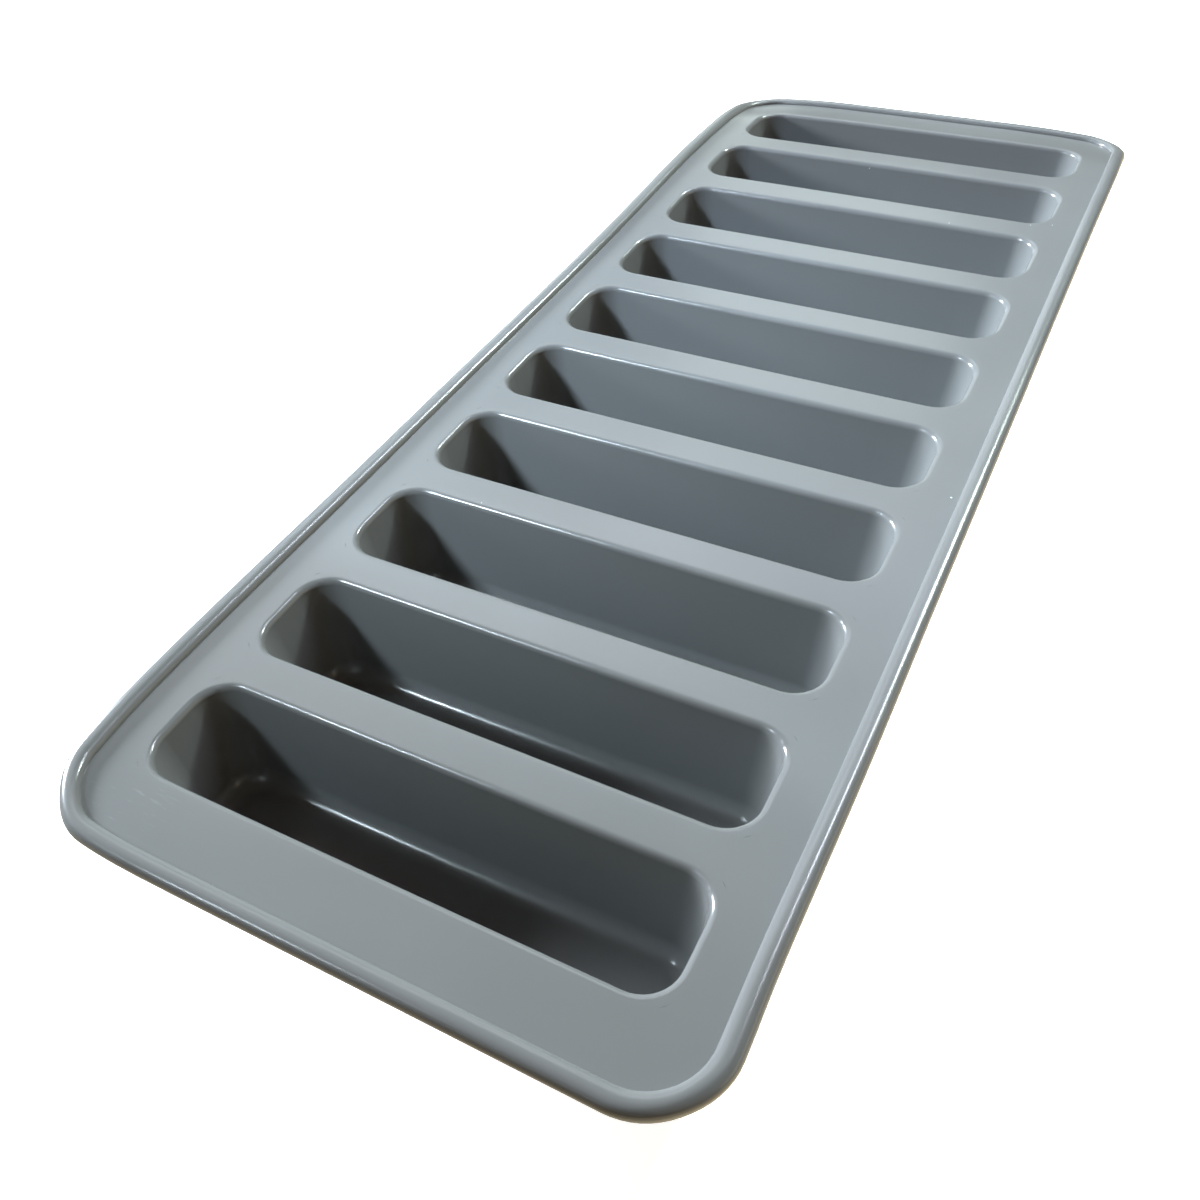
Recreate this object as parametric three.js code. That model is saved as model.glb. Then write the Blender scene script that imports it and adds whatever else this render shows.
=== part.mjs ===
// A silicone sausage mould: a row of deep tapered pockets hangs from a flat deck inside a raised rim bead.
// Millimetres, +Z up. X runs along a pocket and Y along the row. The origin lies below the middle of the
// tray, in the plane of the pocket undersides.
// The real mould is one moulding. It is divided here where the rubber changes its job: each pocket ends in
// a flat collar that fills its hole in the deck, and the bead stands against the deck's edge all round.

import * as THREE from 'three';
import { LoftGeometry } from 'three/addons/geometries/LoftGeometry.js';

// Pockets. The mouth is measured between the walls, before its edge is rounded.
const POCKET_COUNT = 10;
const MOUTH_LENGTH = 116;
const MOUTH_WIDTH = 24.5;
const MOUTH_CORNER_RADIUS = 6.2;
const MOUTH_EDGE_RADIUS = 1.2;
const POCKET_DEPTH = 27.5;
const DRAFT_DEGREES = 6;
const FLOOR_ROUND_RADIUS = 4.5;
const WALL_THICKNESS = 1.8;
const FLOOR_THICKNESS = 1.8;
const COLLAR_WIDTH = 3;

// Deck. The web is the strip between two mouths, and the margins run from a mouth to the foot of the bead.
const DECK_THICKNESS = 2;
const WEB_WIDTH = 10.5;
const SIDE_MARGIN = 10;
const END_MARGIN = 14.5;
const DECK_CORNER_RADIUS = 12;

// Rim bead, a round rod along the edge of the deck that rises above it
const BEAD_DIAMETER = 4.5;
const BEAD_RISE = 1.6;

// Fineness of the curves. A quarter round has twice as many chords as its steps.
const POCKET_CORNER_STEPS = 2;
const RIM_CORNER_STEPS = 4;
const POCKET_SECTION_STEPS = 1;
const BEAD_SECTION_STEPS = 5;

// Levels, pitch and plan sizes that follow from the dimensions above
const FLOOR_TOP = FLOOR_THICKNESS;
const DECK_TOP = FLOOR_TOP + POCKET_DEPTH;
const DECK_UNDERSIDE = DECK_TOP - DECK_THICKNESS;
const POCKET_PITCH = MOUTH_WIDTH + WEB_WIDTH;
const ROW_LENGTH = (POCKET_COUNT - 1) * POCKET_PITCH + MOUTH_WIDTH;
const DECK_LENGTH_X = MOUTH_LENGTH + 2 * SIDE_MARGIN;
const DECK_LENGTH_Y = ROW_LENGTH + 2 * END_MARGIN;
const DRAFT_SLOPE = Math.tan(THREE.MathUtils.degToRad(DRAFT_DEGREES));
const QUARTER = Math.PI / 2;

/** Satin blue-grey silicone rubber, a new material for each mesh. */
function silicone() {
  return new THREE.MeshStandardMaterial({ color: 0x9aa1a6, roughness: 0.42, metalness: 0 });
}

/** The points of a rectangle with round corners, counterclockwise round the origin. */
function roundedRectangle(lengthX, lengthY, radius, steps) {
  const x = lengthX / 2 - radius;
  const y = lengthY / 2 - radius;
  const path = new THREE.Path();
  path.absarc(x, y, radius, 0, QUARTER);
  path.absarc(-x, y, radius, QUARTER, 2 * QUARTER);
  path.absarc(-x, -y, radius, 2 * QUARTER, 3 * QUARTER);
  path.absarc(x, -y, radius, 3 * QUARTER, 4 * QUARTER);
  return path.getPoints(steps);
}

/** The outline of a pocket, grown by an offset that also grows its corners, and drawn in by a taper. */
function mouthOutline(offset, taper = 0) {
  const grow = 2 * (offset - taper);
  const radius = MOUTH_CORNER_RADIUS + offset;
  return roundedRectangle(MOUTH_LENGTH + grow, MOUTH_WIDTH + grow, radius, POCKET_CORNER_STEPS);
}

/** The outline of the deck, grown by an offset. */
function rimOutline(offset) {
  const grow = 2 * offset;
  const radius = DECK_CORNER_RADIUS + offset;
  return roundedRectangle(DECK_LENGTH_X + grow, DECK_LENGTH_Y + grow, radius, RIM_CORNER_STEPS);
}

/** Lifts a flat outline to a height. */
function atHeight(outline, z) {
  return outline.map((point) => new THREE.Vector3(point.x, point.y, z));
}

/** The centre line Y of each pocket, from the near end of the row to the far end. */
function pocketCentres() {
  return Array.from({ length: POCKET_COUNT }, (_, i) => (i - (POCKET_COUNT - 1) / 2) * POCKET_PITCH);
}

/** Half of a pocket's cross-section, from the underside over the lip to the floor, as offset and height. */
function pocketSection() {
  const innerRound = Math.min(FLOOR_ROUND_RADIUS, MOUTH_CORNER_RADIUS - MOUTH_EDGE_RADIUS);
  const outerRound = innerRound + WALL_THICKNESS;
  const section = new THREE.Path();
  section.absarc(-innerRound, outerRound, outerRound, -QUARTER, 0);
  section.lineTo(WALL_THICKNESS, DECK_UNDERSIDE);
  section.lineTo(COLLAR_WIDTH, DECK_UNDERSIDE);
  section.lineTo(COLLAR_WIDTH, DECK_TOP);
  section.absarc(MOUTH_EDGE_RADIUS, DECK_TOP - MOUTH_EDGE_RADIUS, MOUTH_EDGE_RADIUS, QUARTER, 2 * QUARTER);
  section.absarc(-innerRound, FLOOR_TOP + innerRound, innerRound, 0, -QUARTER, true);
  return section.getPoints(POCKET_SECTION_STEPS);
}

/** An open cup with tapered walls, a rounded floor and mouth, and a flat collar at the level of the deck. */
function pocketGeometry() {
  const rings = pocketSection().map(({ x: offset, y: z }) => {
    const taper = DRAFT_SLOPE * Math.max(0, DECK_UNDERSIDE - z);
    return atHeight(mouthOutline(offset, taper), z);
  });
  const floorCentre = rings[0].map(() => new THREE.Vector3(0, 0, FLOOR_TOP));
  return new LoftGeometry([...rings, floorCentre], { capStart: true });
}

/** A flat plate with one hole for the collar of each pocket. */
function deckGeometry() {
  const plate = new THREE.Shape(rimOutline(0));
  plate.holes = pocketCentres().map((centre) => {
    const offsetPoints = mouthOutline(COLLAR_WIDTH).map((point) => point.setY(point.y + centre));
    return new THREE.Path(offsetPoints);
  });
  const geometry = new THREE.ExtrudeGeometry(plate, { depth: DECK_THICKNESS, bevelEnabled: false });
  return geometry.translate(0, 0, DECK_UNDERSIDE);
}

/** The bead's cross-section, up its round outer side to the deck, as offset from the deck's edge and height. */
function beadSection() {
  const radius = BEAD_DIAMETER / 2;
  const centreDrop = radius - BEAD_RISE;
  const centreOffset = Math.sqrt(radius ** 2 - centreDrop ** 2);
  const footAngle = Math.PI - Math.asin(centreDrop / radius);
  const section = new THREE.Path();
  section.absarc(centreOffset, DECK_TOP - centreDrop, radius, -QUARTER, footAngle);
  section.lineTo(0, DECK_TOP - centreDrop - radius);
  section.closePath();
  return section.getPoints(BEAD_SECTION_STEPS);
}

/** The raised edge that runs all round the deck. */
function beadGeometry() {
  const rings = beadSection().map(({ x: offset, y: z }) => atHeight(rimOutline(offset), z));
  return new LoftGeometry(rings);
}

/** A named mesh in its own silicone. */
function piece(name, geometry) {
  const mesh = new THREE.Mesh(geometry, silicone());
  mesh.name = name;
  return mesh;
}

/** The row of pockets, numbered from the near end. */
function pocketRow() {
  const row = new THREE.Group();
  pocketCentres().forEach((centre, i) => {
    const pocket = piece(`pocket_${String(i + 1).padStart(2, '0')}`, pocketGeometry());
    pocket.position.y = centre;
    row.add(pocket);
  });
  return row;
}

const mould = new THREE.Group();
mould.add(piece('deck', deckGeometry()));
mould.add(piece('rim_bead', beadGeometry()));
mould.add(pocketRow());

export default mould;
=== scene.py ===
"""A silicone sausage mould: ten deep pockets in a flat deck, with a round bead along the rim.

Metres, +Z up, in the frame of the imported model. Sizes that the model holds are read from it. The others are
named here, in millimetres times MM.
"""

from __future__ import annotations

import logging
import math
from collections.abc import Callable, Iterable, Iterator
from contextlib import contextmanager
from dataclasses import dataclass
from enum import Enum

import bmesh
import bpy
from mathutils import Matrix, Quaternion, Vector


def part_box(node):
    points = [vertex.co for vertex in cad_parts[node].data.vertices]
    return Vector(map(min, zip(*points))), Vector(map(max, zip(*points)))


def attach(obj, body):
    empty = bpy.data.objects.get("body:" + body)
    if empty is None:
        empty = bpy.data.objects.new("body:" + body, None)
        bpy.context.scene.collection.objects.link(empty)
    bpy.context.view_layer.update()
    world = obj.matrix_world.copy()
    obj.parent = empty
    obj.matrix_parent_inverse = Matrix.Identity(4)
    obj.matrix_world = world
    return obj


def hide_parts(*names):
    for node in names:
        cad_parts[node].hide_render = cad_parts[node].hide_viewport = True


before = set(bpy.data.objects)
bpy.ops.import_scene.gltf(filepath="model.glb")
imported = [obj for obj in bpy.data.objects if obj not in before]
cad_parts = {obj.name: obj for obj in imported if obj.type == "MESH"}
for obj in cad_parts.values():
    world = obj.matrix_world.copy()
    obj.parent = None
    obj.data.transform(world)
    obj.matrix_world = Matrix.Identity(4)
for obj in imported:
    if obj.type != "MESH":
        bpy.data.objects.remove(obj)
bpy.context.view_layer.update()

MM = 0.001
SNAP = 0.02 * MM
BODY = "root"
MADE = "moulded_"
SMOOTH_ANGLE = math.radians(40)
LOG = logging.getLogger("mould")

Test = Callable[[object], bool]
Inputs = dict[str | int, object]

# The colour sockets of a mix node, which share their names with its other kinds of socket
MIX_FACTOR, MIX_A, MIX_B, MIX_RESULT = 0, 6, 7, 2


class Element(Enum):
    """What a selection in edit mode picks."""

    VERT = "verts"
    EDGE = "edges"
    FACE = "faces"


def linear(colour: str) -> tuple[float, float, float, float]:
    """Turns an sRGB hex colour to linear.

    Args:
        colour: Six hex digits after a #.

    Returns:
        Linear red, green and blue, with an alpha of 1.
    """
    channels = [int(colour[i : i + 2], 16) / 255 for i in (1, 3, 5)]
    bent = [c / 12.92 if c <= 0.04045 else ((c + 0.055) / 1.055) ** 2.4 for c in channels]
    return (*bent, 1.0)


def select_only(piece: bpy.types.Object) -> None:
    """Leaves one object selected and active.

    Args:
        piece: The object.
    """
    bpy.ops.object.select_all(action="DESELECT")
    piece.select_set(True)
    bpy.context.view_layer.objects.active = piece


@contextmanager
def editing(piece: bpy.types.Object) -> Iterator[None]:
    """Holds one object in edit mode, with nothing else selected.

    Args:
        piece: The object.

    Yields:
        Nothing, while the object is in edit mode.
    """
    select_only(piece)
    bpy.ops.object.mode_set(mode="EDIT")
    yield
    bpy.ops.object.mode_set(mode="OBJECT")


def pick(element: Element, test: Test) -> None:
    """Selects the parts of the mesh in edit mode that pass a test, and nothing else.

    Args:
        element: Which kind of part.
        test: Takes one part and says whether it is picked.
    """
    bpy.ops.mesh.select_mode(type=element.name)
    bpy.ops.mesh.select_all(action="DESELECT")
    mesh = bpy.context.edit_object.data
    shape = bmesh.from_edit_mesh(mesh)
    for part in getattr(shape, element.value):
        part.select_set(test(part))
    shape.select_flush_mode()
    bmesh.update_edit_mesh(mesh)


def pick_level(element: Element, level: float, test: Test = lambda vert: True) -> None:
    """Picks the parts that lie wholly at one height.

    Args:
        element: Edges or faces.
        level: The height.
        test: A further test that each corner passes.
    """
    pick(element, lambda part: all(abs(v.co.z - level) < SNAP and test(v) for v in part.verts))


def extrude(move: tuple[float, float, float]) -> None:
    """Extrudes what is picked, and moves it."""
    bpy.ops.mesh.extrude_region_move(TRANSFORM_OT_translate={"value": move})


def round_off(radius: float, steps: int, opening: float = math.pi / 2) -> None:
    """Bevels the picked edges to a round.

    Args:
        radius: Of the round.
        steps: Faces across it.
        opening: The angle between the two sides of the edge.
    """
    offset = radius / math.tan(opening / 2)
    bpy.ops.mesh.bevel(offset=offset, segments=steps, affect="EDGES", clamp_overlap=False)


def cut_across(piece: bpy.types.Object, axis: int, places: Iterable[float]) -> None:
    """Cuts edges across a piece, so that it can bend there.

    Args:
        piece: What is cut.
        axis: 0 for cuts square to X, 1 for Y.
        places: Where, along that axis.
    """
    normal = tuple(float(i == axis) for i in range(3))
    with editing(piece):
        for place in places:
            bpy.ops.mesh.select_all(action="SELECT")
            bpy.ops.mesh.bisect(plane_co=tuple(n * place for n in normal), plane_no=normal)


def rounded_block(name: str, centre: Vector, size: Vector, radius: float, steps: int) -> bpy.types.Object:
    """A block with rounded upright edges.

    Args:
        name: Of the new object.
        centre: Its middle.
        size: Its three lengths.
        radius: Of the upright edges.
        steps: Faces round each of them.

    Returns:
        The block, with its place in its mesh.
    """
    bpy.ops.object.select_all(action="DESELECT")
    bpy.ops.mesh.primitive_cube_add(size=1, location=centre, scale=size)
    block = bpy.context.active_object
    block.name = block.data.name = name
    bpy.ops.object.transform_apply(location=True, rotation=True, scale=True)
    with editing(block):
        pick(Element.EDGE, lambda edge: abs(edge.verts[0].co.z - edge.verts[1].co.z) > SNAP)
        round_off(radius, steps)
    return block


@dataclass(frozen=True)
class Moulding:
    """Sizes that more than one piece of the moulding shares."""

    deck_low: Vector
    deck_high: Vector
    deck_corner: float = 12.0 * MM
    deck_corner_steps: int = 16
    mouth_corner: float = 7.4 * MM
    mouth_corner_steps: int = 10
    collar: float = 3.0 * MM
    bends_along: tuple[float, ...] = (-45 * MM, -30 * MM, -15 * MM, 0.0, 15 * MM, 30 * MM, 45 * MM)
    bends_across: tuple[float, ...] = (-4 * MM, 0.0, 4 * MM)

    @property
    def deck_thickness(self) -> float:
        """From the deck's underside to its top."""
        return self.deck_high.z - self.deck_low.z

    def collar_block(self, name: str, node: str, over: float = 0.0) -> bpy.types.Object:
        """The block that fills one hole in the deck.

        Args:
            name: Of the new object.
            node: The pocket whose collar it is.
            over: How far it stands out above and below the deck.

        Returns:
            The block.
        """
        low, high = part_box(node)
        centre = Vector(((low.x + high.x) / 2, (low.y + high.y) / 2, high.z - self.deck_thickness / 2))
        size = Vector((high.x - low.x, high.y - low.y, self.deck_thickness + 2 * over))
        return rounded_block(name, centre, size, self.mouth_corner + self.collar, self.mouth_corner_steps)


@dataclass
class PocketRow:
    """Ten alike open cups, each with tapered walls, a round floor edge and a collar level with the deck."""

    nodes: list[str]
    moulding: Moulding
    wall: float = 1.8 * MM
    floor: float = 1.8 * MM
    floor_round: float = 4.5 * MM
    mouth_round: float = 1.5 * MM
    draft: float = math.radians(6)
    round_steps: int = 8

    def draw_in(self, centre: Vector, level: float) -> None:
        """Moves the corners at one level inward by the draft, which keeps their radius.

        Args:
            centre: The middle of the pocket.
            level: Their height.
        """
        amount = math.tan(self.draft) * (self.moulding.deck_low.z - level)
        for along in (-1, 1):
            for across in (-1, 1):
                pick(
                    Element.VERT,
                    lambda v: abs(v.co.z - level) < SNAP
                    and (v.co.x - centre.x) * along > 0
                    and (v.co.y - centre.y) * across > 0,
                )
                bpy.ops.transform.translate(value=(-along * amount, -across * amount, 0))

    def model_first(self) -> bpy.types.Object:
        """Models the first pocket.

        Returns:
            The finished cup.
        """
        low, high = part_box(self.nodes[0])
        centre = (low + high) / 2
        half_length = (high.x - low.x) / 2 - self.moulding.collar + SNAP
        half_width = (high.y - low.y) / 2 - self.moulding.collar + SNAP
        floor_top = low.z + self.floor
        opening = math.pi / 2 + self.draft
        cup = self.moulding.collar_block(MADE + self.nodes[0], self.nodes[0])
        with editing(cup):
            pick_level(Element.FACE, self.moulding.deck_low.z)
            bpy.ops.mesh.inset(thickness=self.moulding.collar - self.wall)
            extrude((0, 0, low.z - self.moulding.deck_low.z))
            self.draw_in(centre, low.z)
            pick_level(Element.EDGE, low.z)
            round_off(self.floor_round + self.wall, self.round_steps, opening)
            pick_level(Element.FACE, high.z)
            bpy.ops.mesh.inset(thickness=self.moulding.collar)
            extrude((0, 0, floor_top - high.z))
            self.draw_in(centre, floor_top)
            pick_level(Element.EDGE, floor_top)
            round_off(self.floor_round, self.round_steps, opening)
            pick_level(
                Element.EDGE,
                high.z,
                lambda v: abs(v.co.x - centre.x) < half_length and abs(v.co.y - centre.y) < half_width,
            )
            round_off(self.mouth_round, self.round_steps, opening)
        cut_across(cup, 0, self.moulding.bends_along)
        cut_across(cup, 1, [centre.y + offset for offset in self.moulding.bends_across])
        return cup

    def build(self) -> list[bpy.types.Object]:
        """Models the first pocket and copies it along the row.

        Returns:
            One object a pocket, from the near end.
        """
        first = self.model_first()
        low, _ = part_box(self.nodes[0])
        cups = [first]
        for node in self.nodes[1:]:
            select_only(first)
            bpy.ops.object.duplicate()
            cup = bpy.context.active_object
            cup.name = cup.data.name = MADE + node
            cup.location.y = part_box(node)[0].y - low.y
            bpy.ops.object.transform_apply(location=True, rotation=True, scale=True)
            cups.append(cup)
        return cups


@dataclass
class Deck:
    """The flat plate that joins the pockets, with a hole for each collar."""

    node: str
    moulding: Moulding
    pocket_nodes: list[str]
    overcut: float = 2.0 * MM
    end_bends: int = 7
    side_bends: tuple[float, ...] = (-64 * MM, 64 * MM)

    def bends(self) -> list[float]:
        """Where the plate can bend along the row.

        Returns:
            Places beside each pocket, on each web and on both end margins.
        """
        centres = [sum(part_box(node), Vector()).y / 2 for node in self.pocket_nodes]
        half_pitch = (centres[1] - centres[0]) / 2
        places = [centre + offset for centre in centres for offset in self.moulding.bends_across]
        places += [centre + half_pitch for centre in centres[:-1]]
        ends = ((centres[0], self.moulding.deck_low.y), (centres[-1], self.moulding.deck_high.y))
        for centre, edge in ends:
            span = edge - centre
            places += [centre + span * (i + 1) / (self.end_bends + 1) for i in range(self.end_bends)]
        return places

    def build(self) -> bpy.types.Object:
        """Models the plate and cuts the holes.

        Returns:
            The plate.
        """
        low, high = self.moulding.deck_low, self.moulding.deck_high
        corner, steps = self.moulding.deck_corner, self.moulding.deck_corner_steps
        plate = rounded_block(MADE + self.node, (low + high) / 2, high - low, corner, steps)
        cut_across(plate, 0, self.moulding.bends_along + self.side_bends)
        cut_across(plate, 1, self.bends())
        cutters = [self.moulding.collar_block("hole", node, self.overcut) for node in self.pocket_nodes]
        select_only(cutters[0])
        for cutter in cutters:
            cutter.select_set(True)
        bpy.ops.object.join()
        cutter = bpy.context.active_object
        select_only(plate)
        holes = plate.modifiers.new("holes", "BOOLEAN")
        holes.object = cutter
        holes.solver = "EXACT"
        bpy.ops.object.modifier_apply(modifier=holes.name)
        bpy.data.objects.remove(cutter)
        with editing(plate):
            bpy.ops.mesh.select_all(action="SELECT")
            bpy.ops.mesh.remove_doubles(threshold=SNAP)
            bpy.ops.mesh.dissolve_degenerate(threshold=SNAP)
            bpy.ops.mesh.normals_make_consistent(inside=False)
        return plate


@dataclass
class RimBead:
    """The full round bead along the edge of the deck, with a steep inner foot."""

    node: str
    moulding: Moulding
    reach: float = 4.4 * MM
    rise: float = 1.7 * MM
    hang: float = 2.9 * MM
    top_fullness: float = 2.1
    side_fullness: float = 2.2
    top_steps: int = 36
    side_arc_steps: int = 14
    side_steps: int = 72

    def section(self) -> list[tuple[float, float]]:
        """The bead's outline, as distances out from the deck's edge and up from its top.

        A fullness of 2 gives the quarters of an ellipse. More makes them squarer.

        Returns:
            Points from the foot over the crest to the low inner edge.
        """
        half = self.reach / 2
        points = []
        for i in range(self.top_steps + self.side_arc_steps):
            over = i < self.top_steps
            turn = math.pi * (1 - i / self.top_steps)
            if not over:
                turn = -math.pi / 2 * (i - self.top_steps) / self.side_arc_steps
            power = 2 / (self.top_fullness if over else self.side_fullness)
            out = half + math.copysign(half * abs(math.cos(turn)) ** power, math.cos(turn))
            up = math.copysign((self.rise if over else self.hang) * abs(math.sin(turn)) ** power, turn)
            points.append((out, up if turn else 0.0))
        return points + [(half, -self.hang), (0.0, -self.hang)]

    def build(self) -> bpy.types.Object:
        """Sweeps the section round the deck: along each side, then round each corner.

        Returns:
            The closed bead.
        """
        low, high = self.moulding.deck_low, self.moulding.deck_high
        radius = self.moulding.deck_corner
        corner = Vector((high.x - radius, high.y - radius))
        points = [(high.x + out, low.y + radius, high.z + up) for out, up in self.section()]
        mesh = bpy.data.meshes.new(MADE + self.node)
        mesh.from_pydata(points, [(i, (i + 1) % len(points)) for i in range(len(points))], [])
        bead = bpy.data.objects.new(MADE + self.node, mesh)
        bpy.context.collection.objects.link(bead)
        side = Vector((0, high.y - low.y - 2 * radius, 0))
        end = Vector((low.x - high.x + 2 * radius, 0, 0))
        with editing(bead):
            bpy.ops.mesh.select_mode(type="VERT")
            bpy.ops.mesh.select_all(action="SELECT")
            for run, turn_x, turn_y in ((side, 1, 1), (end, -1, 1), (-side, -1, -1), (-end, 1, -1)):
                bpy.ops.mesh.extrude_repeat(steps=self.side_steps, offset=run / self.side_steps)
                bpy.ops.mesh.spin(
                    steps=self.moulding.deck_corner_steps,
                    angle=-math.pi / 2,
                    center=(turn_x * corner.x, turn_y * corner.y, high.z),
                    axis=(0, 0, 1),
                )
            bpy.ops.mesh.select_all(action="SELECT")
            bpy.ops.mesh.remove_doubles(threshold=SNAP)
            bpy.ops.mesh.normals_make_consistent(inside=False)
        return bead


@dataclass(frozen=True)
class Nudge:
    """A soft push on the rubber, strongest at one place and fading round it."""

    place: Vector
    reach: Vector
    move: Vector

    def at(self, x: float, y: float) -> Vector:
        """The push at one place in plan."""
        away = ((x - self.place.x) / self.reach.x) ** 2 + ((y - self.place.y) / self.reach.y) ** 2
        return self.move * math.exp(-away / 2)


NUDGES = (
    # The near left corner is drawn in
    Nudge(Vector((-69.5, -186.5)) * MM, Vector((11, 13)) * MM, Vector((2.0, 1.7, 0)) * MM),
    # The left side bows out at the near end and swells before the far end
    Nudge(Vector((-73, -138)) * MM, Vector((8, 32)) * MM, Vector((-0.7, 0, 0.1)) * MM),
    Nudge(Vector((-73, 35)) * MM, Vector((8, 35)) * MM, Vector((0.4, 0, -0.3)) * MM),
    Nudge(Vector((-20, 118)) * MM, Vector((75, 21)) * MM, Vector((0, 0, 1.0)) * MM),
    # The right side swells at the near end and is drawn in towards the far end
    Nudge(Vector((73, -173)) * MM, Vector((6, 8)) * MM, Vector((0.45, 0, 0)) * MM),
    Nudge(Vector((73, -112)) * MM, Vector((6, 24)) * MM, Vector((0.3, 0, 0)) * MM),
    Nudge(Vector((73, 110)) * MM, Vector((8, 80)) * MM, Vector((-0.9, 0, 0)) * MM),
    # Both far corners hang
    Nudge(Vector((70, 186)) * MM, Vector((14, 16)) * MM, Vector((-0.8, -0.6, -1.0)) * MM),
    Nudge(Vector((-70, 186)) * MM, Vector((14, 18)) * MM, Vector((0.3, -0.3, -1.5)) * MM),
)


@dataclass(frozen=True)
class Slump:
    """How the soft tray lies on the floor: its far end drops, and handling left it a little out of true."""

    level: float
    far_start: float = 155 * MM
    far_slope: float = 0.112
    softness: float = 14 * MM
    lap: float = 0.25 * MM
    lap_from: float = 61 * MM
    lap_most: float = 68 * MM
    lap_to: float = 72.4 * MM

    def draw_in(self, x: float) -> float:
        """How far the foot of the side beads lies further in than that of the end beads.

        Args:
            x: The place across the tray.

        Returns:
            The move along X, towards the middle.
        """
        rise = (abs(x) - self.lap_from) / (self.lap_most - self.lap_from)
        fall = (self.lap_to - abs(x)) / (self.lap_to - self.lap_most)
        return -math.copysign(self.lap * max(0.0, min(rise, fall)), x)

    def drop(self, y: float) -> float:
        """How far the deck lies below its flat level, from a soft start near the far end.

        Args:
            y: The place along the row.

        Returns:
            The drop.
        """
        past = max(0.0, y - self.far_start)
        slid = past**2 / (2 * self.softness) if past < self.softness else past - self.softness / 2
        return self.far_slope * slid

    def bend(self, piece: bpy.types.Object) -> None:
        """Bends one piece. Its feet stay on the floor.

        Args:
            piece: The piece, before it is shaded.
        """
        for vertex in piece.data.vertices:
            x, y, z = vertex.co
            start = Vector((self.draw_in(x), 0, -self.drop(y)))
            move = sum((nudge.at(x, y) for nudge in NUDGES), start)
            vertex.co += move * z / self.level


def add_node(tree: bpy.types.NodeTree, kind: str, inputs: Inputs, **settings: object) -> bpy.types.Node:
    """Adds one node to a material.

    Args:
        tree: The material's nodes.
        kind: What kind of node.
        inputs: For each input, by its name or number, a value to set or a socket to link.
        settings: Other properties of the node.

    Returns:
        The node.
    """
    node = tree.nodes.new(kind)
    for key, value in settings.items():
        setattr(node, key, value)
    for key, value in inputs.items():
        if isinstance(value, bpy.types.NodeSocket):
            tree.links.new(value, node.inputs[key])
        else:
            node.inputs[key].default_value = value
    return node


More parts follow.
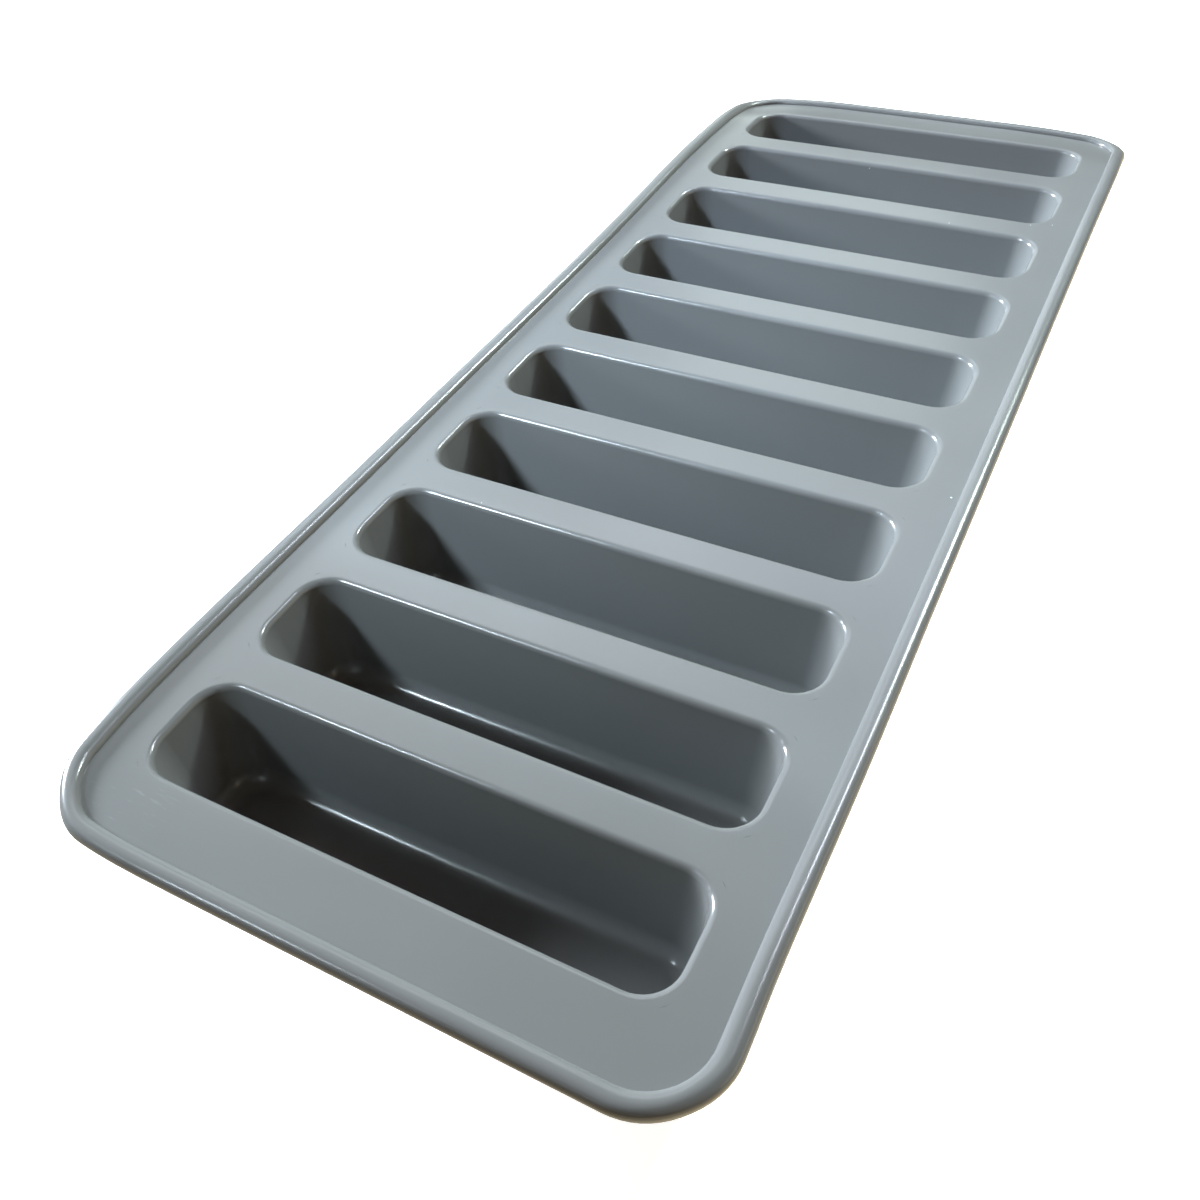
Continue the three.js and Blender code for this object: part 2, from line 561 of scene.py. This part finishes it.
@dataclass(frozen=True)
class MouldedSilicone:
    """Grey silicone rubber from a polished steel mould.

    To the eye it is an even cool grey with a soft gloss, so that edges and rounds catch thin bright lines.
    Its tone and gloss cloud a little where it was handled. There are rubbed marks on the near left of the
    deck, and a little dust on it. The real grain is far too fine to see, so it is drawn coarser, and very
    shallow.
    """

    name: str = "satin_silicone_rubber"
    colour: str = "#686a6a"
    cloud_colour: str = "#6c6e6e"
    cloud_size: float = 38 * MM
    cloud_range: tuple[float, float] = (0.35, 0.65)
    cloud_detail: float = 3.0
    roughness: tuple[float, float] = (0.18, 0.26)
    ior: float = 1.43
    grain_size: float = 0.6 * MM
    grain_depth: float = 0.002 * MM
    grain_detail: float = 2.0
    mark_colour: str = "#c4c9cb"
    mark_roughness: float = 0.6
    dust_spacing: float = 6 * MM
    dust_size: float = 0.3 * MM
    dust_share: float = 0.2
    dust_level: float = 28 * MM
    scuff_place: Vector = Vector((-52 * MM, -174 * MM, 28 * MM))
    scuff_reach: float = 16 * MM
    scuff_length: float = 4 * MM
    scuff_width: float = 0.6 * MM
    scuff_turn: float = math.radians(-8)
    scuff_range: tuple[float, float] = (0.62, 0.8)
    scuff_detail: float = 3.0
    scuff_weight: float = 0.12

    def marks(self, tree: bpy.types.NodeTree, place: bpy.types.NodeSocket) -> bpy.types.NodeSocket:
        """Draws the dust and the rubbed marks.

        Args:
            tree: The material's nodes.
            place: Where on the mould.

        Returns:
            How strongly the surface is marked, from 0 to 1.
        """
        cells = add_node(tree, "ShaderNodeTexVoronoi", {"Vector": place, "Scale": 1 / self.dust_spacing})
        chance = add_node(tree, "ShaderNodeSeparateColor", {"Color": cells.outputs["Color"]})
        speck_limits = {
            "Value": chance.outputs["Red"],
            "From Min": 1 - self.dust_share,
            "From Max": 1.0,
            "To Max": self.dust_size / self.dust_spacing,
        }
        speck = add_node(tree, "ShaderNodeMapRange", speck_limits)
        inside = {0: speck.outputs["Result"], 1: cells.outputs["Distance"]}
        specks = add_node(tree, "ShaderNodeMath", inside, operation="GREATER_THAN")
        height = add_node(tree, "ShaderNodeSeparateXYZ", {"Vector": place})
        above = {0: height.outputs["Z"], 1: self.dust_level}
        settled = add_node(tree, "ShaderNodeMath", above, operation="GREATER_THAN")
        lying = {0: specks.outputs["Value"], 1: settled.outputs["Value"]}
        dust = add_node(tree, "ShaderNodeMath", lying, operation="MULTIPLY")
        stretch = (1 / self.scuff_length, 1 / self.scuff_width, 1 / self.scuff_length)
        turned = {"Vector": place, "Rotation": (0, 0, self.scuff_turn), "Scale": stretch}
        along = add_node(tree, "ShaderNodeMapping", turned)
        rubbed = {"Vector": along.outputs["Vector"], "Scale": 1.0, "Detail": self.scuff_detail}
        streaks = add_node(tree, "ShaderNodeTexNoise", rubbed)
        streak_limits = {
            "Value": streaks.outputs["Fac"],
            "From Min": self.scuff_range[0],
            "From Max": self.scuff_range[1],
            "To Max": self.scuff_weight,
        }
        lines = add_node(tree, "ShaderNodeMapRange", streak_limits)
        from_scuff = {0: place, 1: self.scuff_place}
        distance = add_node(tree, "ShaderNodeVectorMath", from_scuff, operation="DISTANCE")
        patch_limits = {"From Min": self.scuff_reach, "From Max": 0.0}
        patch = add_node(tree, "ShaderNodeMapRange", {"Value": distance.outputs["Value"], **patch_limits})
        both = {0: lines.outputs["Result"], 1: patch.outputs["Result"]}
        scuffs = add_node(tree, "ShaderNodeMath", both, operation="MULTIPLY")
        marked = {0: dust.outputs["Value"], 1: scuffs.outputs["Value"]}
        return add_node(tree, "ShaderNodeMath", marked, operation="MAXIMUM").outputs["Value"]

    def material(self) -> bpy.types.Material:
        """Makes the material.

        Returns:
            The material.
        """
        material = bpy.data.materials.new(self.name)
        material.use_nodes = True
        tree = material.node_tree
        shader = tree.nodes["Principled BSDF"]
        shader.inputs["IOR"].default_value = self.ior
        place = add_node(tree, "ShaderNodeTexCoord", {}).outputs["Object"]
        marks = self.marks(tree, place)
        drifts = {"Vector": place, "Scale": 1 / self.cloud_size, "Detail": self.cloud_detail}
        cloud = add_node(tree, "ShaderNodeTexNoise", drifts).outputs["Fac"]
        tones = {MIX_FACTOR: cloud, MIX_A: linear(self.colour), MIX_B: linear(self.cloud_colour)}
        tone = add_node(tree, "ShaderNodeMix", tones, data_type="RGBA")
        colours = {MIX_FACTOR: marks, MIX_A: tone.outputs[MIX_RESULT], MIX_B: linear(self.mark_colour)}
        colour = add_node(tree, "ShaderNodeMix", colours, data_type="RGBA")
        tree.links.new(colour.outputs[MIX_RESULT], shader.inputs["Base Color"])
        gloss_limits = {
            "Value": cloud,
            "From Min": self.cloud_range[0],
            "From Max": self.cloud_range[1],
            "To Min": self.roughness[0],
            "To Max": self.roughness[1],
        }
        gloss = add_node(tree, "ShaderNodeMapRange", gloss_limits)
        dulled = {"Value": marks, "To Min": gloss.outputs["Result"], "To Max": self.mark_roughness}
        roughness = add_node(tree, "ShaderNodeMapRange", dulled)
        tree.links.new(roughness.outputs["Result"], shader.inputs["Roughness"])
        pores = {"Vector": place, "Scale": 1 / self.grain_size, "Detail": self.grain_detail}
        grain = add_node(tree, "ShaderNodeTexNoise", pores)
        relief = {"Height": grain.outputs["Fac"], "Distance": self.grain_depth}
        bump = add_node(tree, "ShaderNodeBump", relief)
        tree.links.new(bump.outputs["Normal"], shader.inputs["Normal"])
        return material


class LampKind(Enum):
    """How a studio lamp gives its light."""

    PANEL = "AREA"
    SPOT = "SPOT"


@dataclass(frozen=True)
class Lamp:
    """One studio lamp that faces the mould.

    Its azimuth turns from +Y towards +X, and its distance is taken from the point that it is aimed at. A
    panel has a width and a height, and a spot has the width of its bulb and the angle of its cone.
    """

    name: str
    kind: LampKind
    azimuth: float
    elevation: float
    distance: float
    width: float
    power: float
    colour: str
    height: float = 0.0
    cone: float = 0.0
    aim: Vector = Vector((0, 0, 29 * MM))

    def add(self) -> None:
        """Hangs the lamp."""
        turn, lift = math.radians(self.azimuth), math.radians(self.elevation)
        away = Vector((math.sin(turn) * math.cos(lift), math.cos(turn) * math.cos(lift), math.sin(lift)))
        data = bpy.data.lights.new(self.name, self.kind.value)
        data.energy = self.power
        data.color = linear(self.colour)[:3]
        if self.kind is LampKind.PANEL:
            data.shape = "RECTANGLE"
            data.size = self.width
            data.size_y = self.height
        else:
            data.shadow_soft_size = self.width / 2
            data.spot_size = math.radians(self.cone)
            data.spot_blend = 1.0
        lamp = bpy.data.objects.new(self.name, data)
        bpy.context.scene.collection.objects.link(lamp)
        lamp.location = self.aim + away * self.distance
        lamp.rotation_euler = (-away).to_track_quat("-Z", "Y").to_euler()


NEAR_KEY_AIM = Vector((-50 * MM, -20 * MM, 29 * MM))
FAR_KEY_AIM = Vector((-50 * MM, 60 * MM, 29 * MM))
NEAR_BEAM_AIM = Vector((0, 1.0, 0))
FAR_BEAM_AIM = Vector((0, 1.5, 0))

LAMPS = (
    Lamp("near_key", LampKind.SPOT, 221, 42, 1.2, 0.2, 104.0, "#e0f4ff", cone=14, aim=NEAR_KEY_AIM),
    Lamp("far_key", LampKind.SPOT, 221, 42, 1.2, 0.2, 52.0, "#cddeff", cone=13, aim=FAR_KEY_AIM),
    Lamp("far_spot", LampKind.SPOT, 20, 41, 1.2, 0.16, 49.0, "#ebfff3", cone=80),
    Lamp("far_strip", LampKind.PANEL, 20, 55, 1.2, 0.07, 10.2, "#eaefff", height=0.6),
    Lamp("left_window", LampKind.PANEL, 270, 14, 1.6, 0.3, 95.0, "#ecf6ff", height=0.26),
    Lamp("near_window", LampKind.PANEL, 313, 46, 1.6, 0.98, 1.8, "#fff6f6", height=0.42),
    Lamp("far_window", LampKind.PANEL, 343.5, 30, 1.6, 0.42, 1.28, "#f0fff8", height=0.51),
    Lamp("low_window", LampKind.PANEL, 325, 11.5, 1.6, 0.9, 1.6, "#f0fff8", height=0.3),
    Lamp("near_beam", LampKind.PANEL, 270, 75, 1.55, 0.15, 7.2, "#d9f0ff", height=3, aim=NEAR_BEAM_AIM),
    Lamp("far_beam", LampKind.PANEL, 90, 86.2, 1.503, 0.15, 6.3, "#dce2ff", height=2, aim=FAR_BEAM_AIM),
    Lamp("front_fill", LampKind.PANEL, 180, 17.5, 1.6, 1.23, 1.0, "#f8ffe7", height=0.421),
    Lamp("warm_fill", LampKind.PANEL, 75, 17.5, 1.6, 1.6, 4.4, "#fbe0ac", height=0.421),
)


CAMERA_PLACE = Vector((96.91, -241.21, 202.26)) * MM
CAMERA_AIM = Vector((5.894, -91.936, 29.3)) * MM


@dataclass
class Studio:
    """A pale floor and wall, soft lights and the camera."""

    camera_place: Vector
    camera_aim: Vector
    camera_roll: float = math.radians(-5.555)
    lens: float = 33.644
    sensor: float = 36.0
    clip_start: float = 10 * MM
    floor_size: float = 6.0
    wall_height: float = 3.0
    wall_sides: int = 96
    floor_colour: str = "#f6f6f5"
    floor_glow: float = 0.9
    floor_roughness: float = 0.9
    table_colour: str = "#ffedc8"
    table_glow: tuple[float, float] = (0.6, 1.7)
    table_span: tuple[float, float] = (-0.2, 0.6)
    room_colour: str = "#b5794f"
    room_glow: float = 0.12
    horizon: tuple[float, float] = (0.0, -0.1)

    def add_camera(self) -> None:
        """Adds the camera and makes it the scene's."""
        data = bpy.data.cameras.new("camera")
        data.lens = self.lens
        data.sensor_width = self.sensor
        data.clip_start = self.clip_start
        camera = bpy.data.objects.new("camera", data)
        bpy.context.scene.collection.objects.link(camera)
        camera.location = self.camera_place
        look = (self.camera_aim - self.camera_place).to_track_quat("-Z", "Y")
        camera.rotation_mode = "QUATERNION"
        camera.rotation_quaternion = look @ Quaternion((0, 0, 1), self.camera_roll)
        bpy.context.scene.camera = camera

    def white_acrylic(self) -> bpy.types.Material:
        """Makes the backlit sheet of the floor and the wall.

        Returns:
            The material.
        """
        acrylic = bpy.data.materials.new("backlit_white_acrylic")
        acrylic.use_nodes = True
        shader = acrylic.node_tree.nodes["Principled BSDF"]
        shader.inputs["Base Color"].default_value = linear(self.floor_colour)
        shader.inputs["Roughness"].default_value = self.floor_roughness
        shader.inputs["Emission Color"].default_value = linear(self.floor_colour)
        shader.inputs["Emission Strength"].default_value = self.floor_glow
        return acrylic

    def add_floor(self, sheet: bpy.types.Material) -> None:
        """Lays a backlit white floor under the mould. The mould takes no light from it.

        Args:
            sheet: What the floor is made of.
        """
        bpy.ops.object.select_all(action="DESELECT")
        bpy.ops.mesh.primitive_plane_add(size=self.floor_size, location=(0, 0, 0))
        floor = bpy.context.active_object
        floor.name = "floor"
        floor.data.materials.append(sheet)
        floor.visible_diffuse = False
        floor.visible_glossy = False

    def add_wall(self, sheet: bpy.types.Material) -> None:
        """Stands a round pale wall beyond the lamps. The mould takes no light or shade from it.

        Args:
            sheet: What the wall is made of.
        """
        bpy.ops.object.select_all(action="DESELECT")
        bpy.ops.mesh.primitive_cylinder_add(
            vertices=self.wall_sides,
            radius=self.floor_size / 2,
            depth=self.wall_height,
            end_fill_type="NOTHING",
            location=(0, 0, self.wall_height / 2),
        )
        bpy.ops.object.shade_smooth()
        wall = bpy.context.active_object
        wall.name = "wall"
        wall.data.materials.append(sheet)
        wall.visible_diffuse = False
        wall.visible_glossy = False
        wall.visible_shadow = False

    def add_room(self) -> None:
        """Sets a dim brown room over a pale table that glows up most strongly on the right."""
        world = bpy.data.worlds.new("room")
        bpy.context.scene.world = world
        world.use_nodes = True
        tree = world.node_tree
        background = tree.nodes["Background"]
        way = add_node(tree, "ShaderNodeTexCoord", {}).outputs["Generated"]
        parts = add_node(tree, "ShaderNodeSeparateXYZ", {"Vector": way})
        fall = {"Value": parts.outputs["Z"], "From Min": self.horizon[0], "From Max": self.horizon[1]}
        below = add_node(tree, "ShaderNodeMapRange", fall)
        halves = {
            MIX_FACTOR: below.outputs["Result"],
            MIX_A: linear(self.room_colour),
            MIX_B: linear(self.table_colour),
        }
        colour = add_node(tree, "ShaderNodeMix", halves, data_type="RGBA")
        glow = {
            "Value": parts.outputs["X"],
            "From Min": self.table_span[0],
            "From Max": self.table_span[1],
            "To Min": self.table_glow[0],
            "To Max": self.table_glow[1],
        }
        across = add_node(tree, "ShaderNodeMapRange", glow)
        levels = {"To Min": self.room_glow, "To Max": across.outputs["Result"]}
        strength = add_node(tree, "ShaderNodeMapRange", {**fall, **levels})
        tree.links.new(colour.outputs[MIX_RESULT], background.inputs["Color"])
        tree.links.new(strength.outputs["Result"], background.inputs["Strength"])
        bpy.context.scene.view_settings.view_transform = "Standard"

    def build(self) -> None:
        """Sets the whole stage."""
        self.add_camera()
        sheet = self.white_acrylic()
        self.add_floor(sheet)
        self.add_wall(sheet)
        self.add_room()
        for lamp in LAMPS:
            lamp.add()


def finish_piece(piece: bpy.types.Object, node: str, material: bpy.types.Material) -> None:
    """Shades a piece, dresses it and hands it over to the frame.

    Args:
        piece: The finished mesh.
        node: The node that it stands for.
        material: What it is made of.
    """
    piece.data.materials.clear()
    piece.data.materials.append(material)
    select_only(piece)
    bpy.ops.object.shade_smooth_by_angle(angle=SMOOTH_ANGLE)
    normals = piece.modifiers.new("normals", "WEIGHTED_NORMAL")
    normals.keep_sharp = True
    bpy.ops.object.modifier_apply(modifier=normals.name)
    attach(piece, BODY)
    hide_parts(node)
    LOG.info("%s: %d faces", piece.name, len(piece.data.polygons))


def main() -> None:
    """Builds the mould and its stage."""
    logging.basicConfig(level=logging.INFO, format="%(name)s %(message)s")
    pocket_nodes = sorted(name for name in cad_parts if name.startswith("pocket_"))
    moulding = Moulding(*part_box("deck"))
    material = MouldedSilicone().material()
    pieces = PocketRow(pocket_nodes, moulding).build()
    pieces.append(Deck("deck", moulding, pocket_nodes).build())
    pieces.append(RimBead("rim_bead", moulding).build())
    slump = Slump(moulding.deck_high.z)
    for piece in pieces:
        slump.bend(piece)
        finish_piece(piece, piece.name.removeprefix(MADE), material)
    Studio(CAMERA_PLACE, CAMERA_AIM).build()


if __name__ == "__main__":
    main()
